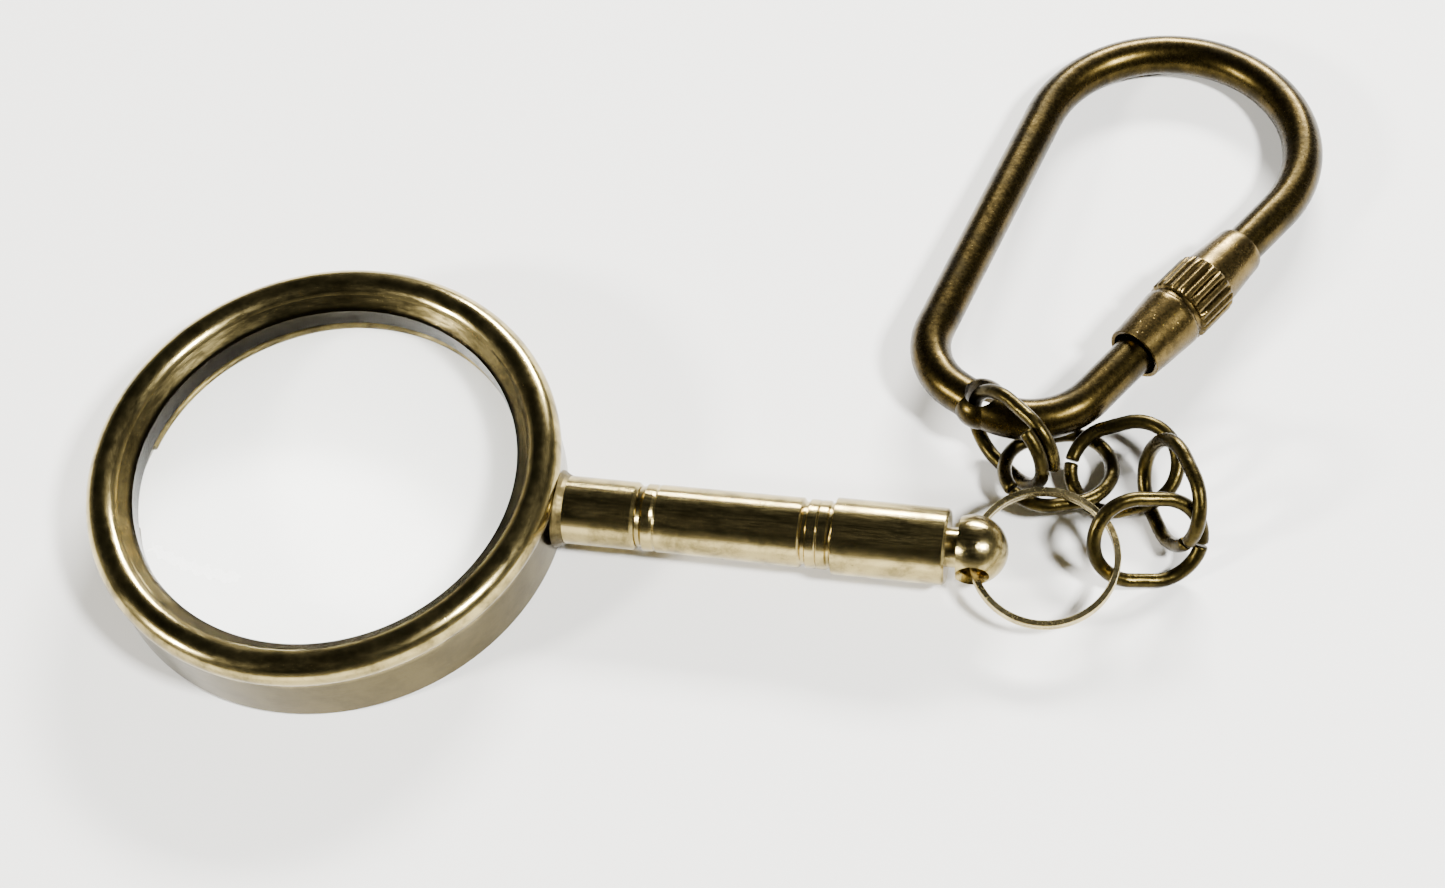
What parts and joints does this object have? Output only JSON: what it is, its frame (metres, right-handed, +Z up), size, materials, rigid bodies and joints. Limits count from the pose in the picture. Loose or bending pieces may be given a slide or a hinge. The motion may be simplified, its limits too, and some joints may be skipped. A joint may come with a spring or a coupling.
{
  "type": "hand lens",
  "caption": "Small brass hand lens with a turned handle, on a short chain with a D-shaped key ring that a fluted screw nut closes.",
  "frame": {"origin": "centre of the bezel, on the plane it rests on", "axes": "+Z up along the lens axis; +X along the handle, away from the bezel; the key ring lies beyond, towards +Y"},
  "size_m": [0.0919, 0.0704, 0.0076],
  "materials": {
    "rim_brass": "polished, patinated",
    "lens_glass": "clear",
    "dull_brass": "matte",
    "handle_brass": "polished, turned",
    "link_brass": "satin, antiqued",
    "ring_brass": "satin, antiqued",
    "nut_brass": "satin, fluted"
  },
  "bodies": {
    "magnifier": {"bezel": "rim_brass", "lens": "lens_glass", "retaining_ring": "dull_brass", "braze_fillet": "dull_brass", "handle_collar": "handle_brass", "handle_barrel": "handle_brass", "handle_end": "handle_brass"},
    "split": {"split_ring": "link_brass"},
    "chain_1": {"link_1": "link_brass"},
    "chain_2": {"link_2": "link_brass"},
    "chain_3": {"link_3": "link_brass"},
    "chain_4": {"link_4": "link_brass"},
    "chain_5": {"link_5": "link_brass"},
    "ring": {"key_ring": "ring_brass"},
    "nut": {"lock_nut": "nut_brass"}
  },
  "joints": [
    {"name": "split_swing", "type": "hinge", "parent": "magnifier", "child": "split", "pos_m": [0.0502, 0, 0.0032], "axis": [0, 1, 0], "range_deg": [-140, 145]},
    {"name": "link_1_swing", "type": "hinge", "parent": "split", "child": "chain_1", "pos_m": [0.06058, -0.00031, 0.00273], "axis": [0.07, 0.9862, 0.15], "range_deg": [-66, 0]},
    {"name": "link_2_swing", "type": "hinge", "parent": "chain_1", "child": "chain_2", "pos_m": [0.06579, 0.00421, 0.00446], "axis": [-0.6171, 0.291, 0.7311], "range_deg": [-84, 0]},
    {"name": "link_3_swing", "type": "hinge", "parent": "chain_2", "child": "chain_3", "pos_m": [0.06226, 0.00621, 0.00174], "axis": [0.9155, 0.2728, 0.2958], "range_deg": [-84, 3]},
    {"name": "link_4_swing", "type": "hinge", "parent": "chain_3", "child": "chain_4", "pos_m": [0.05833, 0.00617, 0.0021], "axis": [0.7538, 0.6488, -0.104], "range_deg": [-84, 3]},
    {"name": "link_5_swing", "type": "hinge", "parent": "chain_4", "child": "chain_5", "pos_m": [0.05138, 0.00866, 0.00201], "axis": [-0.1729, -0.9767, 0.127], "range_deg": [0, 84]},
    {"name": "ring_swing", "type": "hinge", "parent": "chain_5", "child": "ring", "pos_m": [0.0491, 0.0124, 0.0039], "axis": [0, 0.0593, 0.9982], "range_deg": [0, 88]},
    {"name": "nut_travel", "type": "slide", "parent": "ring", "child": "nut", "axis": [0.5431, 0.8382, -0.0498], "range_m": [0, 0.0042]}
  ]
}
